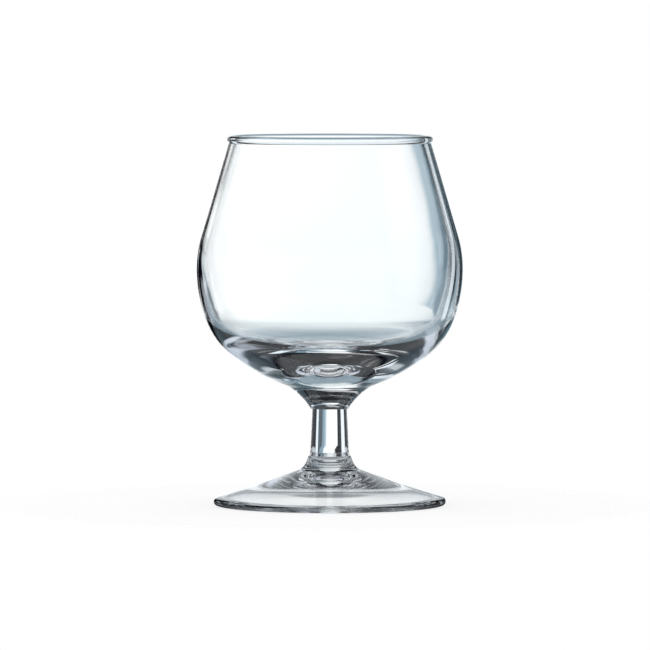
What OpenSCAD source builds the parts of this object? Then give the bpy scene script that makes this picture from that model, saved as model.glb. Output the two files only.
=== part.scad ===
// Brandy snifter: a bowl, a stem and a foot of clear glass, fused end to end.
// Lengths are in mm. The glass stands on z = 0 and its axis is z.

/* [Overall] */
// Height from the table to the top of the rim
height = 98.5; // [94:0.1:104]

/* [Bowl outside] */
// Widest outside diameter of the bowl
belly_d = 71; // [68:0.1:75]
// Arc radius above the widest ring, up to the straight part of the wall
shoulder_r = 31; // [20:0.5:40]
// Arc radius just below the widest ring
side_r = 39.4; // [34:0.1:46]
// Arc radius where the side turns in
hip_r = 20.8; // [17:0.1:24]
// Arc radius of the sloping base
base_r = 60; // [50:0.5:66]
// Height of the hollow neck between the base and the stem
collar_h = 5.95; // [4:0.05:8]
// Diameter of the collar where it sits on the stem
collar_d = 10; // [9.6:0.1:12]
// Radius of the hollow curve of the collar
collar_fillet = 17.5; // [10:0.5:30]

/* [Bowl inside] */
// Level thickness of the straight upper wall
wall_t = 1.2; // [0.9:0.05:1.6]
// Thickness of the wall at the widest ring
belly_wall = 2.5; // [1.8:0.1:3.5]
// Inside arc radius above the widest ring
inner_shoulder_r = 31; // [20:0.5:40]
// Inside arc radius just below the widest ring
inner_side_r = 47; // [40:0.5:54]
// Inside arc radius where the side meets the floor
inner_corner_r = 14; // [11:0.25:17]

/* [Rim] */
// Thickness of the fire-polished bead
bead_d = 2.2; // [1.9:0.05:2.6]
// How far the bead stands out from the middle of the wall
bead_shift = 0.25; // [0.1:0.05:0.4]

/* [Stem] */
// Length of the stem between its two joints
stem_len = 12.5; // [8:0.1:20]
// Diameter at the top of the stem
stem_top_d = 9.2; // [8:0.1:9.5]
// Diameter of the stem above its lower flare
stem_low_d = 10.1; // [9:0.1:10.6]
// Height of the lower flare
flare_h = 2.2; // [1:0.1:4]
// How far the bottom of the stem stands back from the edge of the hub
hub_step = 0.25; // [0.1:0.05:0.6]

/* [Foot] */
// Diameter of the foot
foot_d = 62; // [58:0.1:66]
// Thickness of the round edge
edge_t = 2.1; // [1.6:0.1:2.6]
// Height of the joint between the foot and the stem
foot_h = 13.2; // [11:0.1:16]
// Diameter of the hub where the stem sits on it
hub_d = 11.2; // [10:0.1:13]
// Radius of the hollow curve between hub and sloping top
hub_fillet = 4; // [2:0.25:5]
// Depth of the dished underside
dish_depth = 6.4; // [4:0.1:7]
// Width of the flat ring that the foot stands on
ring_w = 2; // [1:0.1:4]

/* [Hidden] */
$fn = 240;

// Directions in which neighbouring arcs meet, as cosine and sine of whole-number triangles
slope_c = 0.96;
slope_s = 0.28;
turn_c = 0.936;
turn_s = 0.352;
steep_c = 0.6;
steep_s = 0.8;
// Overlap of areas that are joined by crossing
lap = 0.2;

function grid(v, step) = round(v / step) * step;

// Joint planes
joint_low = foot_h;
joint_high = foot_h + stem_len;

// Outside of the bowl, from the collar up
belly_r = belly_d / 2;
base_end = [belly_r - (1 - turn_c) * side_r - (turn_c - steep_c) * hip_r - (steep_c - turn_s) * base_r,
            joint_high + collar_h];
base_top = base_end + base_r * [steep_c - turn_s, turn_c - steep_s];
hip_top = base_top + hip_r * [turn_c - steep_c, steep_s - turn_s];
belly_z = hip_top[1] + turn_s * side_r;
base_c = base_top + base_r * [-steep_c, steep_s];
hip_c = hip_top + hip_r * [-turn_c, turn_s];
side_c = [belly_r - side_r, belly_z];
shoulder_c = [belly_r - shoulder_r, belly_z];
shoulder_top = shoulder_c + shoulder_r * [slope_c, slope_s];

// Hollow curve of the collar, through the end of the base and the edge of the joint
collar_r = collar_d / 2;
collar_foot = [collar_r, joint_high];
collar_way = base_end - collar_foot;
collar_half = norm(collar_way) / 2;
collar_arc = max(collar_fillet, 1.2 * collar_half);
collar_c = (base_end + collar_foot) / 2
         + [collar_way[1], -collar_way[0]] / norm(collar_way) * sqrt(pow(collar_arc, 2) - pow(collar_half, 2));

// Inside of the bowl
inner_turn = (1 - turn_c) * inner_side_r + (turn_c - turn_s) * inner_corner_r;
floor_r = grid((belly_r - belly_wall - inner_turn) / turn_s, 0.25);
inner_r = turn_s * floor_r + inner_turn;
inner_rise = (slope_c * (belly_r - inner_r - wall_t) + (1 - slope_c) * (shoulder_r - inner_shoulder_r)) / slope_s;
inner_z = belly_z + grid(inner_rise, 0.01);
inner_side_c = [inner_r - inner_side_r, inner_z];
corner_top = inner_side_c + inner_side_r * [turn_c, -turn_s];
corner_c = corner_top + inner_corner_r * [-turn_c, turn_s];
floor_top = corner_c + inner_corner_r * [turn_s, -turn_c];
floor_c = [0, floor_top[1] + turn_c * floor_r];
inner_shoulder_c = [inner_r - inner_shoulder_r, inner_z];
inner_shoulder_top = inner_shoulder_c + inner_shoulder_r * [slope_c, slope_s];

// Rim
bead_z = height - bead_d / 2;
wall_out = shoulder_top[0] - (bead_z - shoulder_top[1]) * slope_s / slope_c;
wall_in = inner_shoulder_top[0] - (bead_z - inner_shoulder_top[1]) * slope_s / slope_c;
bead_x = grid((wall_out + wall_in) / 2 + bead_shift, 0.001);

// Outside of the foot, from the edge up to the hub
edge_r = edge_t / 2;
edge_c = [foot_d / 2 - edge_r, edge_r];
edge_top = edge_c + edge_r * [slope_s, slope_c];
hub_tan = turn_s / turn_c;
hub_turn = (turn_c - turn_s) * hub_fillet;
hub_rest = edge_top[0] - hub_turn - hub_tan * (foot_h - edge_top[1] - hub_turn) - hub_d / 2;
top_r = grid(hub_rest / (turn_s - slope_s - hub_tan * (slope_c - turn_c)), 0.25);
top_c = edge_top + top_r * [slope_s, slope_c];
fillet_low = top_c - top_r * [turn_s, turn_c];
fillet_c = fillet_low + hub_fillet * [turn_s, turn_c];
fillet_top = fillet_c - hub_fillet * [turn_c, turn_s];
hub_r = fillet_top[0] - hub_tan * (foot_h - fillet_top[1]);

// Dished underside of the foot, as a part of a ball
dish_rim = edge_c[0] - ring_w;
dish_r = grid((pow(dish_rim, 2) + pow(dish_depth, 2)) / (2 * dish_depth), 0.01);

// Stem
stem_top_r = stem_top_d / 2;
stem_low_r = stem_low_d / 2;
stem_foot_r = hub_r - hub_step;

// A disc, drawn with more steps the larger it is
module disc(c, r) {
    translate(c) circle(r, $fn = 16 * ceil(r / 4) + 240);
}

// Area from the axis out to x, between two heights
module slab(x, z0, z1) {
    translate([0, z0]) square([x, z1 - z0]);
}

// Area between the axis and the outer side of a disc, between two heights
module band(c, r, z0, z1) {
    intersection() {
        slab(c[0] + r, z0, z1);
        union() {
            disc(c, r);
            if (c[0] > 0) slab(c[0], z0, z1);
        }
    }
}

// Area between the axis and the near side of a disc, between two heights
module neck(c, r, x, z0, z1) {
    difference() {
        slab(x, z0, z1);
        disc(c, r);
    }
}

// Area between the axis and a sloping wall that passes a point
module cone(p, z1) {
    polygon([[0, p[1]], p, [p[0] - (z1 - p[1]) * slope_s / slope_c, z1], [0, z1]]);
}

module bowl_outside() {
    neck(collar_c, collar_arc, base_end[0], joint_high, base_end[1] + lap);
    band(base_c, base_r, base_end[1] - lap, base_top[1]);
    band(hip_c, hip_r, base_top[1], hip_top[1]);
    band(side_c, side_r, hip_top[1], belly_z);
    band(shoulder_c, shoulder_r, belly_z, shoulder_top[1]);
    cone(shoulder_top, bead_z);
}

module bowl_inside() {
    band(floor_c, floor_r, floor_c[1] - floor_r - lap, floor_top[1]);
    band(corner_c, inner_corner_r, floor_top[1], corner_top[1]);
    band(inner_side_c, inner_side_r, corner_top[1], inner_z);
    band(inner_shoulder_c, inner_shoulder_r, inner_z, inner_shoulder_top[1]);
    cone(inner_shoulder_top, height + lap);
}

module bowl() {
    color([0.86, 0.93, 0.95, 0.35])
    rotate_extrude()
    union() {
        difference() {
            bowl_outside();
            bowl_inside();
        }
        disc([bead_x, bead_z], bead_d / 2);
    }
}

module stem() {
    color([0.82, 0.90, 0.93, 0.35])
    rotate_extrude()
    polygon([
        [0, joint_low],
        [stem_foot_r, joint_low],
        [stem_low_r, joint_low + flare_h],
        [stem_top_r, joint_high],
        [0, joint_high]
    ]);
}

module foot_outside() {
    slab(edge_c[0], 0, edge_top[1]);
    intersection() {
        disc(edge_c, edge_r);
        translate([edge_c[0], -lap]) square([edge_t, edge_top[1] + lap]);
    }
    neck(top_c, top_r, edge_top[0], edge_top[1], fillet_low[1]);
    neck(fillet_c, hub_fillet, fillet_low[0], fillet_low[1], fillet_top[1]);
    polygon([[0, fillet_top[1]], fillet_top, [hub_r, joint_low], [0, joint_low]]);
}

module foot() {
    color([0.84, 0.92, 0.94, 0.35])
    rotate_extrude()
    difference() {
        foot_outside();
        intersection() {
            disc([0, dish_depth - dish_r], dish_r);
            slab(foot_d, -lap, dish_depth + lap);
        }
    }
}

bowl();
stem();
foot();
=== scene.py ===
"""Looks for the brandy snifter: three lathed pieces of clear glass and a small photo studio around them."""

import math
from collections import namedtuple

import bpy
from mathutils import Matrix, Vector

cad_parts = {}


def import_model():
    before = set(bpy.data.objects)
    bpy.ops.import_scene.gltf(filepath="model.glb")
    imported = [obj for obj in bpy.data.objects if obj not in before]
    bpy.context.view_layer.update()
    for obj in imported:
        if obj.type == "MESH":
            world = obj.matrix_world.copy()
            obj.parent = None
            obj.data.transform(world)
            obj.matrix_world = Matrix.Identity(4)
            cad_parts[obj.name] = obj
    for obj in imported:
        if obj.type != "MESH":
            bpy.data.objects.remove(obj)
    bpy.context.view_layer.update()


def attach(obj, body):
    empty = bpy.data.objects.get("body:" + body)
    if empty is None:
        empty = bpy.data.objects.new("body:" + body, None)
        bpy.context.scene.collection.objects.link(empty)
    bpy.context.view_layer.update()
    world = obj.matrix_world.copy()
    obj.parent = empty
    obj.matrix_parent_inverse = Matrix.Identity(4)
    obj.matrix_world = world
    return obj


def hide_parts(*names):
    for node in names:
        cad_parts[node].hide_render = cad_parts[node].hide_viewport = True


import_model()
scene = bpy.context.scene

MM = 0.001

# Fineness of the meshes: faces round the axis, steps in mm along an outline, counts of steps, and tolerances
AROUND = 192
ARC_STEP = 0.45
LINE_STEP = 3.0
STEM_STEP = 1.0
FILLET_STEP = 0.2
BEAD_STEP = 0.12
CORNER_STEP = 0.08
LEAST_ARC_STEPS = 5
SWELL_STEPS = 52
BLEND_STEPS = 30
ON_AXIS = 1e-6
SAME_PLACE = 1e-4
JOINT_SPARE = 1e-3
SHARP_ANGLE = math.radians(32)

# Sizes of the glass in mm, as in the solids
HEIGHT = 98.5
BELLY_R = 35.5
SHOULDER_R = 31.0
SIDE_R = 39.4
HIP_R = 20.8
BASE_R = 60.0
COLLAR_H = 5.95
COLLAR_R = 5.0
COLLAR_ARC = 17.5
WALL_T = 1.2
BELLY_WALL = 2.5
INNER_SHOULDER_R = 31.0
INNER_SIDE_R = 47.0
INNER_CORNER_R = 14.0
BEAD_R = 1.1
BEAD_SHIFT = 0.25
STEM_LEN = 12.5
STEM_TOP_R = 4.6
STEM_LOW_R = 5.05
FLARE_H = 2.2
HUB_STEP = 0.25
FOOT_R = 31.0
EDGE_R = 1.05
FOOT_H = 13.2
HUB_R = 5.6
HUB_FILLET = 4.0
DISH_DEPTH = 6.4
RING_W = 2.0
JOINT_LOW = FOOT_H
JOINT_HIGH = FOOT_H + STEM_LEN
# Steps to which the solids round a worked-out radius
RADIUS_GRID = 0.25
DISH_GRID = 0.01
# Directions in which neighbouring arcs meet
SLOPE_C, SLOPE_S = 0.96, 0.28
TURN_C, TURN_S = 0.936, 0.352
STEEP_C, STEEP_S = 0.6, 0.8

# Rounding of small corners, in the looks only: at the collar, at the hub and where the stem starts to flare
COLLAR_SOFT_R = 0.22
HUB_SOFT_R = 0.1
FLARE_SOFT_R = 6.0
# Share of the stem's side, from the flare up, that this last rounding takes
FLARE_SHARE = 0.2
# The hollow as the photograph shows it: the wall swells evenly from SWELL_TOP down to SEEN_WALL at the belly,
# the floor is a little wider than in the solid, and from the belly down the hollow sits left of the axis
SWELL_TOP = 86.0
SEEN_WALL = 2.0
FLOOR_WIDE = 1.025
HOLLOW_OFF = 0.55


def vec(x, z):
    return Vector((x, z))


def arc(centre, start, end, step=ARC_STEP, turn=0):
    """Points on the arc from start to end round centre, by the shorter way or by the sign of turn."""
    r = (start - centre).length
    a0 = math.atan2(start.y - centre.y, start.x - centre.x)
    a1 = math.atan2(end.y - centre.y, end.x - centre.x)
    sweep = (a1 - a0 + math.pi) % (2 * math.pi) - math.pi
    if turn and sweep * turn < 0:
        sweep += turn * 2 * math.pi
    n = max(LEAST_ARC_STEPS, math.ceil(abs(sweep) * r / step))
    angles = [a0 + sweep * k / n for k in range(n + 1)]
    return [centre + r * vec(math.cos(a), math.sin(a)) for a in angles]


def line(start, end, step=LINE_STEP):
    n = max(1, math.ceil((end - start).length / step))
    return [start.lerp(end, k / n) for k in range(n + 1)]


def corner(before, at, after, r):
    """A rounded corner in place of a sharp one."""
    a, b = (before - at).normalized(), (after - at).normalized()
    half = a.angle(b) / 2
    back = r / math.tan(half)
    centre = at + (a + b).normalized() * (r / math.sin(half))
    return arc(centre, at + a * back, at + b * back, CORNER_STEP)


def blend(start, lean0, end, lean1, n=BLEND_STEPS):
    """A smooth curve between two points, with the given leans (sideways per unit of height) at its ends."""
    drop = end.y - start.y
    points = []
    for k in range(1, n):
        u = k / n
        x = ((2 * u ** 3 - 3 * u ** 2 + 1) * start.x + (u ** 3 - 2 * u ** 2 + u) * drop * lean0
             + (3 * u ** 2 - 2 * u ** 3) * end.x + (u ** 3 - u ** 2) * drop * lean1)
        points.append(vec(x, start.y + u * drop))
    return points


def grid(v, step):
    return round(v / step) * step


# Outlines, from the axis out and back to the axis, with the glass on the left
def bowl_outline():
    """The bowl's outline, and for each of its points how far the ring there sits off the axis."""
    turns = (1 - TURN_C) * SIDE_R + (TURN_C - STEEP_C) * HIP_R + (STEEP_C - TURN_S) * BASE_R
    base_end = vec(BELLY_R - turns, JOINT_HIGH + COLLAR_H)
    base_top = base_end + BASE_R * vec(STEEP_C - TURN_S, TURN_C - STEEP_S)
    hip_top = base_top + HIP_R * vec(TURN_C - STEEP_C, STEEP_S - TURN_S)
    belly = vec(BELLY_R, hip_top.y + TURN_S * SIDE_R)
    base_c = base_top + BASE_R * vec(-STEEP_C, STEEP_S)
    hip_c = hip_top + HIP_R * vec(-TURN_C, TURN_S)
    side_c = belly - vec(SIDE_R, 0)
    shoulder_c = belly - vec(SHOULDER_R, 0)
    shoulder_top = shoulder_c + SHOULDER_R * vec(SLOPE_C, SLOPE_S)
    collar_foot = vec(COLLAR_R, JOINT_HIGH)
    way = base_end - collar_foot
    collar_back = math.sqrt(COLLAR_ARC ** 2 - way.length_squared / 4)
    collar_c = (base_end + collar_foot) / 2 + vec(way.y, -way.x).normalized() * collar_back

    turn = (1 - TURN_C) * INNER_SIDE_R + (TURN_C - TURN_S) * INNER_CORNER_R
    floor_r = grid((BELLY_R - BELLY_WALL - turn) / TURN_S, RADIUS_GRID)
    inner_r = TURN_S * floor_r + turn
    spare = SLOPE_C * (BELLY_R - inner_r - WALL_T) + (1 - SLOPE_C) * (SHOULDER_R - INNER_SHOULDER_R)
    inner = vec(inner_r, belly.y + spare / SLOPE_S)
    inner_side_c = inner - vec(INNER_SIDE_R, 0)
    inner_shoulder_c = inner - vec(INNER_SHOULDER_R, 0)
    inner_top = inner_shoulder_c + INNER_SHOULDER_R * vec(SLOPE_C, SLOPE_S)
    corner_top = inner_side_c + INNER_SIDE_R * vec(TURN_C, -TURN_S)
    corner_c = corner_top + INNER_CORNER_R * vec(-TURN_C, TURN_S)
    floor_top = corner_c + INNER_CORNER_R * vec(TURN_S, -TURN_C)
    floor_c = vec(0, floor_top.y + TURN_C * floor_r)

    bead_z = HEIGHT - BEAD_R
    slant = SLOPE_S / SLOPE_C
    wall_out = shoulder_top.x - (bead_z - shoulder_top.y) * slant
    wall_in = inner_top.x - (bead_z - inner_top.y) * slant
    bead_c = vec((wall_out + wall_in) / 2 + BEAD_SHIFT, bead_z)

    def meet(p):
        """Where the straight wall through p runs into the bead."""
        along = vec(-SLOPE_S, SLOPE_C)
        to = bead_c - p
        t = to.dot(along)
        off = (to - along * t).length
        return p + along * (t - math.sqrt(BEAD_R ** 2 - off ** 2))

    out_meet, in_meet = meet(shoulder_top), meet(inner_top)
    collar = arc(collar_c, collar_foot, base_end)
    points = [vec(0, JOINT_HIGH), vec(STEM_TOP_R, JOINT_HIGH)]
    points += corner(vec(0, JOINT_HIGH), collar_foot, collar[1], COLLAR_SOFT_R)
    points += collar[1:]
    points += arc(base_c, base_end, base_top)
    points += arc(hip_c, base_top, hip_top)
    points += arc(side_c, hip_top, belly)
    points += arc(shoulder_c, belly, shoulder_top)
    points += line(shoulder_top, out_meet)
    points += arc(bead_c, out_meet, in_meet, BEAD_STEP, turn=1)
    first_inside = len(points)
    points += line(in_meet, inner_top + vec(-slant, 1) * (SWELL_TOP - inner_top.y))
    swell = (SEEN_WALL - WALL_T) / (SWELL_TOP - belly.y) ** 2
    for k in range(1, SWELL_STEPS + 1):
        z = SWELL_TOP + (belly.y - SWELL_TOP) * k / SWELL_STEPS
        if z > shoulder_top.y:
            outside = shoulder_top.x - (z - shoulder_top.y) * slant
        else:
            outside = shoulder_c.x + math.sqrt(SHOULDER_R ** 2 - (z - belly.y) ** 2)
        points.append(vec(outside - WALL_T - swell * (SWELL_TOP - z) ** 2, z))
    floor = arc(corner_c, corner_top, floor_top) + arc(floor_c, floor_top, floor_c - vec(0, floor_r))
    wide_floor = [vec(p.x * FLOOR_WIDE, p.y) for p in floor]
    points += blend(points[-1], 2 * swell * (SWELL_TOP - belly.y), wide_floor[0], TURN_S / TURN_C)
    points += wide_floor

    shift = [0.0] * len(points)
    for k in range(first_inside, len(points)):
        t = min(1.0, max(0.0, (in_meet.y - points[k].y) / (in_meet.y - belly.y)))
        shift[k] = -HOLLOW_OFF * t * t * (3 - 2 * t)
    return points, shift


def foot_outline():
    """The foot's outline, and the radius of the stem where it stands on the hub."""
    edge_c = vec(FOOT_R - EDGE_R, EDGE_R)
    dish_rim = edge_c.x - RING_W
    dish_r = grid((dish_rim ** 2 + DISH_DEPTH ** 2) / (2 * DISH_DEPTH), DISH_GRID)
    dish_c = vec(0, DISH_DEPTH - dish_r)
    ring = math.sqrt(dish_r ** 2 - dish_c.y ** 2)
    edge_top = edge_c + EDGE_R * vec(SLOPE_S, SLOPE_C)
    hub_tan = TURN_S / TURN_C
    turn = (TURN_C - TURN_S) * HUB_FILLET
    rest = edge_top.x - turn - hub_tan * (FOOT_H - edge_top.y - turn) - HUB_R
    top_r = grid(rest / (TURN_S - SLOPE_S - hub_tan * (SLOPE_C - TURN_C)), RADIUS_GRID)
    top_c = edge_top + top_r * vec(SLOPE_S, SLOPE_C)
    low = top_c - top_r * vec(TURN_S, TURN_C)
    fillet_c = low + HUB_FILLET * vec(TURN_S, TURN_C)
    high = fillet_c - HUB_FILLET * vec(TURN_C, TURN_S)
    hub = vec(high.x - hub_tan * (FOOT_H - high.y), FOOT_H)
    stem_foot_r = hub.x - HUB_STEP
    points = arc(dish_c, vec(0, DISH_DEPTH), vec(ring, 0))
    points += line(vec(ring, 0), vec(edge_c.x, 0))
    points += arc(edge_c, vec(edge_c.x, 0), edge_top, BEAD_STEP, turn=1)
    points += arc(top_c, edge_top, low)
    points += arc(fillet_c, low, high, FILLET_STEP)
    points += corner(high, hub, vec(0, FOOT_H), HUB_SOFT_R)
    points += [vec(stem_foot_r, FOOT_H), vec(0, FOOT_H)]
    return points, stem_foot_r


def stem_outline(stem_foot_r):
    low = vec(stem_foot_r, JOINT_LOW)
    waist = vec(STEM_LOW_R, JOINT_LOW + FLARE_H)
    top = vec(STEM_TOP_R, JOINT_HIGH)
    points = [vec(0, JOINT_LOW), low]
    points += corner(low, waist, top, FLARE_SOFT_R)
    points += line(waist.lerp(top, FLARE_SHARE), top, STEM_STEP)
    points += [vec(0, JOINT_HIGH)]
    return points


def lathe(name, outline, materials, is_joint, shift=None):
    """A closed piece turned from its outline. Faces for which is_joint(p, q) holds take the second material."""
    shift = shift or [0.0] * len(outline)
    clean, aside = [outline[0]], [shift[0]]
    for p, off in zip(outline[1:], shift[1:]):
        if (p - clean[-1]).length > SAME_PLACE:
            clean.append(p)
            aside.append(off)
    around = [2 * math.pi * k / AROUND for k in range(AROUND)]
    verts, faces, index, rings = [], [], [], []
    for p, off in zip(clean, aside):
        if p.x < ON_AXIS:
            rings.append([len(verts)])
            verts.append((off * MM, 0, p.y * MM))
        else:
            rings.append(list(range(len(verts), len(verts) + AROUND)))
            verts += [((p.x * math.cos(a) + off) * MM, p.x * math.sin(a) * MM, p.y * MM) for a in around]
    for i in range(len(clean) - 1):
        a, b = rings[i], rings[i + 1]
        joined = 1 if is_joint(clean[i], clean[i + 1]) else 0
        for k in range(AROUND):
            n = (k + 1) % AROUND
            if len(a) == 1:
                faces.append((a[0], b[n], b[k]))
            elif len(b) == 1:
                faces.append((a[k], a[n], b[0]))
            else:
                faces.append((a[k], a[n], b[n], b[k]))
            index.append(joined)
    mesh = bpy.data.meshes.new(name)
    mesh.from_pydata(verts, [], faces)
    mesh.polygons.foreach_set("use_smooth", [True] * len(faces))
    for m in materials:
        mesh.materials.append(m)
    mesh.polygons.foreach_set("material_index", index)
    mesh.update()
    mesh.validate()
    mesh.set_sharp_from_angle(angle=SHARP_ANGLE)
    obj = bpy.data.objects.new(name, mesh)
    scene.collection.objects.link(obj)
    return obj


# Shader nodes that the glass, the studio and the table share
def mix(tree, kind, under, over, factor, label=""):
    """Over in front of under by the factor. Kind is RGBA for colours and FLOAT for plain values."""
    n = tree.nodes.new("ShaderNodeMix")
    n.data_type = kind
    n.label = label
    tree.links.new(factor, n.inputs[0])
    first = 6 if kind == "RGBA" else 2
    for socket, v in ((n.inputs[first], under), (n.inputs[first + 1], over)):
        if isinstance(v, tuple):
            socket.default_value = v + (1.0,)
        else:
            tree.links.new(v, socket)
    return n.outputs[2] if kind == "RGBA" else n.outputs[0]


def remap(tree, value, start, end, before, after, curve):
    """The value from before to after while the input goes from start to end."""
    n = tree.nodes.new("ShaderNodeMapRange")
    n.interpolation_type = curve
    tree.links.new(value, n.inputs["Value"])
    for name, v in zip(("From Min", "From Max", "To Min", "To Max"), (start, end, before, after)):
        n.inputs[name].default_value = v
    return n.outputs["Result"]


# Glass: clear, with a faint cold tint, slow waves and a polish that varies a little. Scales are waves per metre.
GLASS_IOR = 1.52
TINT_DEEP, TINT_PALE, TINT_SCALE = (0.978, 0.992, 0.997), (0.990, 0.998, 1.000), 30.0
ROUGHEST, POLISH_SCALE, POLISH_FROM, POLISH_TO = 0.002, 90.0, 0.3, 0.7
WAVE_DEPTH, WAVE_SCALE = 0.00002, 70.0


def clear_material(name):
    m = bpy.data.materials.new(name)
    m.use_nodes = True
    bsdf = m.node_tree.nodes["Principled BSDF"]
    bsdf.inputs["Transmission Weight"].default_value = 1.0
    bsdf.inputs["IOR"].default_value = GLASS_IOR
    return m, m.node_tree, bsdf


def glass_material():
    m, tree, bsdf = clear_material("clear_glass")
    coord = tree.nodes.new("ShaderNodeTexCoord")

    def noise(scale, detail):
        n = tree.nodes.new("ShaderNodeTexNoise")
        n.inputs["Scale"].default_value = scale
        n.inputs["Detail"].default_value = detail
        tree.links.new(coord.outputs["Object"], n.inputs["Vector"])
        return n.outputs["Fac"]

    tint = mix(tree, "RGBA", TINT_DEEP, TINT_PALE, noise(TINT_SCALE, 1.0))
    polish = remap(tree, noise(POLISH_SCALE, 2.0), POLISH_FROM, POLISH_TO, 0.0, ROUGHEST, "LINEAR")
    waves = tree.nodes.new("ShaderNodeBump")
    waves.inputs["Strength"].default_value = 1.0
    waves.inputs["Distance"].default_value = WAVE_DEPTH
    tree.links.new(noise(WAVE_SCALE, 0.0), waves.inputs["Height"])
    tree.links.new(tint, bsdf.inputs["Base Color"])
    tree.links.new(polish, bsdf.inputs["Roughness"])
    tree.links.new(waves.outputs["Normal"], bsdf.inputs["Normal"])
    return m


def joint_material():
    """The fused faces: light passes from piece to piece as in one body of glass."""
    m, _, bsdf = clear_material("fused_joint")
    bsdf.inputs["Alpha"].default_value = 0.0
    return m


def at_joint(z, r):
    """A test for steps of an outline that lie on the joint at height z, out to radius r."""
    def lies_on(p, q):
        return max(abs(p.y - z), abs(q.y - z)) < SAME_PLACE and max(p.x, q.x) < r + JOINT_SPARE
    return lies_on


glass = [glass_material(), joint_material()]
foot_points, stem_foot_r = foot_outline()
bowl_points, bowl_shift = bowl_outline()
bowl_joint = at_joint(JOINT_HIGH, STEM_TOP_R)
foot_joint = at_joint(JOINT_LOW, stem_foot_r)


def stem_joint(p, q):
    return foot_joint(p, q) or bowl_joint(p, q)


pieces = {
    "bowl": lathe("snifter_bowl", bowl_points, glass, bowl_joint, bowl_shift),
    "stem": lathe("snifter_stem", stem_outline(stem_foot_r), glass, stem_joint),
    "foot": lathe("snifter_foot", foot_points, glass, foot_joint),
}
for node, piece in pieces.items():
    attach(piece, "root")
    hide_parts(node)

# Studio: panels far away round the glass. Across is in degrees from straight behind the glass, + to the right,
# and up in degrees above level. Soft is the half width of the edges, across and up. The left and right edges
# can lean, by so many degrees across per degree up. Later panels stand in front of earlier ones.
Panel = namedtuple("Panel", "name across up colour soft lean", defaults=[(0.0, 0.0)])
ROOM = (0.002, 0.003, 0.006)
PANELS = [
    Panel("camera side of the room", (118, 242), (-90, 52), (0.12, 0.12, 0.14), (4, 6)),
    Panel("white cards beside the camera", (124, 236), (-24, 10), (0.70, 0.72, 0.74), (5, 4)),
    Panel("lamp over the camera", (140, 220), (26, 40), (0.34, 0.34, 0.36), (8, 4)),
    Panel("left softbox", (-122, -84), (-20, 14), (0.66, 0.71, 0.82), (5, 5)),
    Panel("right wall", (72, 122), (-18, 44), (0.34, 0.38, 0.44), (5, 6)),
    Panel("right softbox", (78, 118), (-18, 26), (0.66, 0.71, 0.81), (6, 6)),
    Panel("ground", (-181, 181), (-90, -20), (0.78, 0.82, 0.86), (1, 5)),
    Panel("ground on the left, in shade", (-78, -20), (-29, -14), (0.02, 0.025, 0.04), (5, 4)),
    Panel("left card", (-60, -38), (-30, -12), (0.60, 0.64, 0.67), (4, 3)),
    Panel("right card", (38, 60), (-30, -12), (0.60, 0.64, 0.67), (4, 3)),
    Panel("overhead softbox", (-34, 10), (50, 62), (0.72, 0.72, 0.72), (8, 5)),
    # Painted shade: the ground straight behind the glass is darker than the ground around it
    Panel("painted shade on the ground behind the glass", (-42, 42), (-90, -16), (0.26, 0.35, 0.41), (8, 3)),
    Panel("backdrop, top", (-10, 9), (-20, 48), (0.46, 0.50, 0.52), (1.5, 8)),
    Panel("backdrop, upper part", (-10, 10), (-20, 28), (0.84, 0.90, 0.94), (1.5, 7)),
    Panel("side wall, in shade", (3, 27), (-17, 6), (0.07, 0.10, 0.12), (0.8, 3)),
    Panel("side wall, half lit", (3, 9.5), (-16, 5), (0.24, 0.36, 0.44), (1.5, 3), (0, -1.1)),
    Panel("side wall by the backdrop", (3, 7.3), (-16, 5), (0.50, 0.64, 0.73), (1.5, 3), (0, -0.55)),
    Panel("right strip light", (28.5, 37), (-18, 10), (0.88, 0.98, 1.05), (1.2, 2)),
    Panel("left strip light", (-44, -29.5), (-15.5, -4.5), (0.95, 1.02, 1.10), (1.2, 1.5)),
    Panel("left strip light, upper part", (-40, -26), (4.0, 9.5), (1.10, 1.10, 1.10), (2, 1.5)),
    Panel("sweep of the backdrop", (-9, 5), (-26, -8), (0.86, 0.92, 0.94), (3, 4)),
    Panel("backdrop, left wing", (-26.3, 0), (-11, -5.2), (1.10, 1.14, 1.15), (0.8, 0.8), (-1.3, 0)),
    Panel("backdrop", (-10, 4.3), (-9.5, 4.5), (1.11, 1.14, 1.15), (0.9, 1.5), (0, -0.42)),
    Panel("backdrop, low part", (-9.4, -0.77), (-14.5, -6), (1.06, 1.11, 1.12), (1.0, 4), (0, -1.2)),
    Panel("backdrop, side of the lamp", (-11, -2), (-11, 6), (1.42, 1.43, 1.43), (3.0, 4.0)),
]
WHITE = (1.0, 1.0, 1.0)


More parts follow.
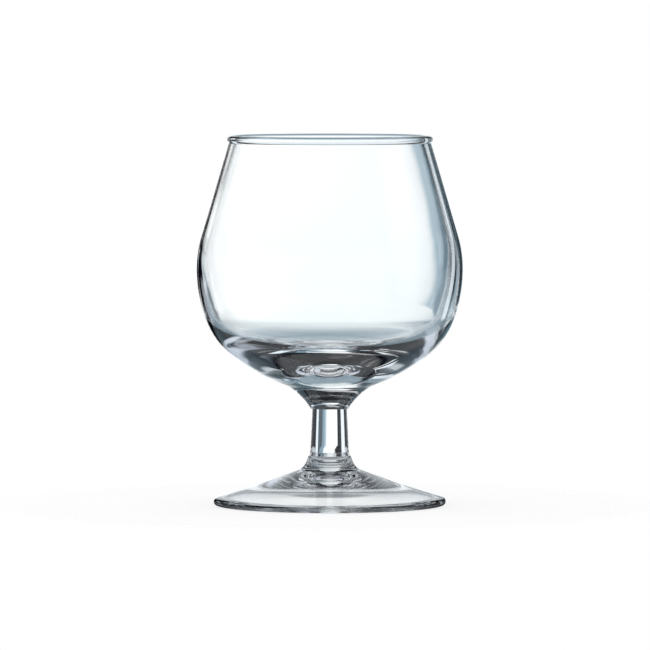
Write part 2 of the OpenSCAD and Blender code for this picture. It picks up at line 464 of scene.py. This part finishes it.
def build_world():
    """The panels for rays from the glass, an even white dome over the table, and white for the camera."""
    world = bpy.data.worlds.new("studio")
    scene.world = world
    world.use_nodes = True
    tree = world.node_tree
    tree.nodes.clear()

    def maths(op, *values):
        n = tree.nodes.new("ShaderNodeMath")
        n.operation = op
        for socket, v in zip(n.inputs, values):
            if isinstance(v, (int, float)):
                socket.default_value = v
            else:
                tree.links.new(v, socket)
        return n.outputs[0]

    def past(value, edge, soft):
        return remap(tree, value, edge - soft, edge + soft, 0.0, 1.0, "SMOOTHSTEP")

    coord = tree.nodes.new("ShaderNodeTexCoord")
    split = tree.nodes.new("ShaderNodeSeparateXYZ")
    tree.links.new(coord.outputs["Generated"], split.inputs[0])
    x, y, z = split.outputs
    across = maths("MULTIPLY", maths("ARCTAN2", x, y), math.degrees(1))
    up = maths("MULTIPLY", maths("ARCSINE", z), math.degrees(1))
    down = maths("MULTIPLY", up, -1.0)

    colour = ROOM
    for p in PANELS:
        (left, right), (low, high) = p.across, p.up
        middle, half = (left + right) / 2, (right - left) / 2
        edge, rise = p.soft
        lean_left, lean_right = p.lean
        turn = maths("WRAP", maths("SUBTRACT", across, middle), 180.0, -180.0)
        from_left = maths("MULTIPLY_ADD", up, -lean_left, turn)
        from_right = maths("SUBTRACT", maths("MULTIPLY", up, lean_right), turn)
        wide = maths("MULTIPLY", past(from_left, -half, edge), past(from_right, -half, edge))
        tall = maths("MULTIPLY", past(up, low, rise), past(down, -high, rise))
        colour = mix(tree, "RGBA", colour, p.colour, maths("MULTIPLY", wide, tall), p.name)

    path = tree.nodes.new("ShaderNodeLightPath")
    colour = mix(tree, "RGBA", colour, WHITE, path.outputs["Is Diffuse Ray"], "dome")
    colour = mix(tree, "RGBA", colour, WHITE, path.outputs["Is Camera Ray"], "background")
    back = tree.nodes.new("ShaderNodeBackground")
    out = tree.nodes.new("ShaderNodeOutputWorld")
    tree.links.new(colour, back.inputs["Color"])
    tree.links.new(back.outputs[0], out.inputs["Surface"])


build_world()

# Table, in metres: white with a faint shadow where the camera sees it. In the glass it glows in painted light and
# shade that no lamp lights: a painted pool of light in front under the foot, painted shade at the sides, behind
# and under the hub, and a painted shadow under the ring that stands on it.
TABLE_R = 0.095
TABLE_DROP = 0.0001
TABLE_SIDES = 96
SEEN_GLOW, SEEN_BASE = (0.72, 0.72, 0.72), (0.3, 0.3, 0.3)
# Painted tones of the table in the glass: a pool of light in front, shade at the sides and behind, shade under
# the hub and a shadow under the ring
FRONT, SIDES, BEHIND = (0.98, 1.00, 1.00), (0.80, 0.83, 0.86), (0.45, 0.48, 0.51)
UNDER_HUB_PAINTED_SHADE, UNDER_RING_PAINTED_SHADOW, BLACK = (0.12, 0.13, 0.14), (0.012, 0.012, 0.020), (0.0, 0.0, 0.0)
# How far the painted shade under the hub darkens the table
HUB_SHARE = 0.7
# Where one tone passes into the next: by distance from front to back, and by distance from the axis
FRONT_TO_SIDES, SIDES_TO_BEHIND = (-0.018, -0.003), (-0.003, 0.016)
HUB_TO_DISH, DISH_TO_RING = (0.008, 0.013), (0.026, 0.0295)
GLASS_FADE, SEEN_FADE = (0.031, 0.035), (0.055, TABLE_R)


def table_material():
    m = bpy.data.materials.new("table_white")
    m.use_nodes = True
    tree = m.node_tree
    bsdf = tree.nodes["Principled BSDF"]
    bsdf.inputs["Roughness"].default_value = 1.0
    bsdf.inputs["Specular IOR Level"].default_value = 0.0
    bsdf.inputs["Emission Strength"].default_value = 1.0
    seen = tree.nodes.new("ShaderNodeLightPath").outputs["Is Camera Ray"]
    coord = tree.nodes.new("ShaderNodeTexCoord")
    split = tree.nodes.new("ShaderNodeSeparateXYZ")
    tree.links.new(coord.outputs["Object"], split.inputs[0])
    back = split.outputs[1]
    length = tree.nodes.new("ShaderNodeVectorMath")
    length.operation = "LENGTH"
    tree.links.new(coord.outputs["Object"], length.inputs[0])
    r = length.outputs["Value"]

    def before(value, edges, full=1.0):
        """Full before the first edge and 0 after the second."""
        return remap(tree, value, *edges, full, 0.0, "SMOOTHSTEP")

    # Painted light in front, painted shade at the sides, behind and under the hub, and a painted shadow under the
    # ring
    tone = mix(tree, "RGBA", BEHIND, SIDES, before(back, SIDES_TO_BEHIND))
    tone = mix(tree, "RGBA", tone, FRONT, before(back, FRONT_TO_SIDES))
    tone = mix(tree, "RGBA", tone, UNDER_HUB_PAINTED_SHADE, before(r, HUB_TO_DISH, HUB_SHARE))
    tone = mix(tree, "RGBA", UNDER_RING_PAINTED_SHADOW, tone, before(r, DISH_TO_RING))
    glow = mix(tree, "RGBA", tone, SEEN_GLOW, seen)
    base = mix(tree, "RGBA", BLACK, SEEN_BASE, seen)
    alpha = mix(tree, "FLOAT", before(r, GLASS_FADE), before(r, SEEN_FADE), seen)
    tree.links.new(glow, bsdf.inputs["Emission Color"])
    tree.links.new(base, bsdf.inputs["Base Color"])
    tree.links.new(alpha, bsdf.inputs["Alpha"])
    return m


def build_table():
    angles = [2 * math.pi * k / TABLE_SIDES for k in range(TABLE_SIDES)]
    rim = [(TABLE_R * math.cos(a), TABLE_R * math.sin(a), -TABLE_DROP) for a in angles]
    mesh = bpy.data.meshes.new("table")
    mesh.from_pydata(rim, [], [tuple(range(TABLE_SIDES))])
    mesh.materials.append(table_material())
    obj = bpy.data.objects.new("table", mesh)
    scene.collection.objects.link(obj)
    return obj


table = build_table()

# Camera, as in the photograph: its size, the glass's axis and standing line and half the belly's width, in pixels
PHOTO_PX = 650
AXIS_PX = 329.6
STANDING_PX = 505.2
BELLY_PX = 133.26
MM_PER_PX = BELLY_R / BELLY_PX
AIM = Vector((PHOTO_PX / 2 - AXIS_PX, 0, STANDING_PX - PHOTO_PX / 2)) * MM_PER_PX * MM
EYE = Vector((0, -1.85, 0.136))
SENSOR_MM = 36
CLIP_END = 50
camera = bpy.data.cameras.new("camera")
camera.sensor_width = SENSOR_MM
camera.lens = SENSOR_MM * (AIM - EYE).length / (PHOTO_PX * MM_PER_PX * MM)
camera.clip_end = CLIP_END
cam = bpy.data.objects.new("camera", camera)
scene.collection.objects.link(cam)
cam.location = EYE
cam.rotation_euler = (AIM - EYE).to_track_quat("-Z", "Y").to_euler()
scene.camera = cam

# Enough bounces for the many reflections inside the base and the foot
GLASS_BOUNCES = 32
GLOSSY_BOUNCES = 16
scene.view_settings.view_transform = "Standard"
scene.cycles.max_bounces = GLASS_BOUNCES
scene.cycles.transmission_bounces = GLASS_BOUNCES
scene.cycles.transparent_max_bounces = GLASS_BOUNCES
scene.cycles.glossy_bounces = GLOSSY_BOUNCES
scene.cycles.sample_clamp_indirect = 0
scene.cycles.blur_glossy = 0.0
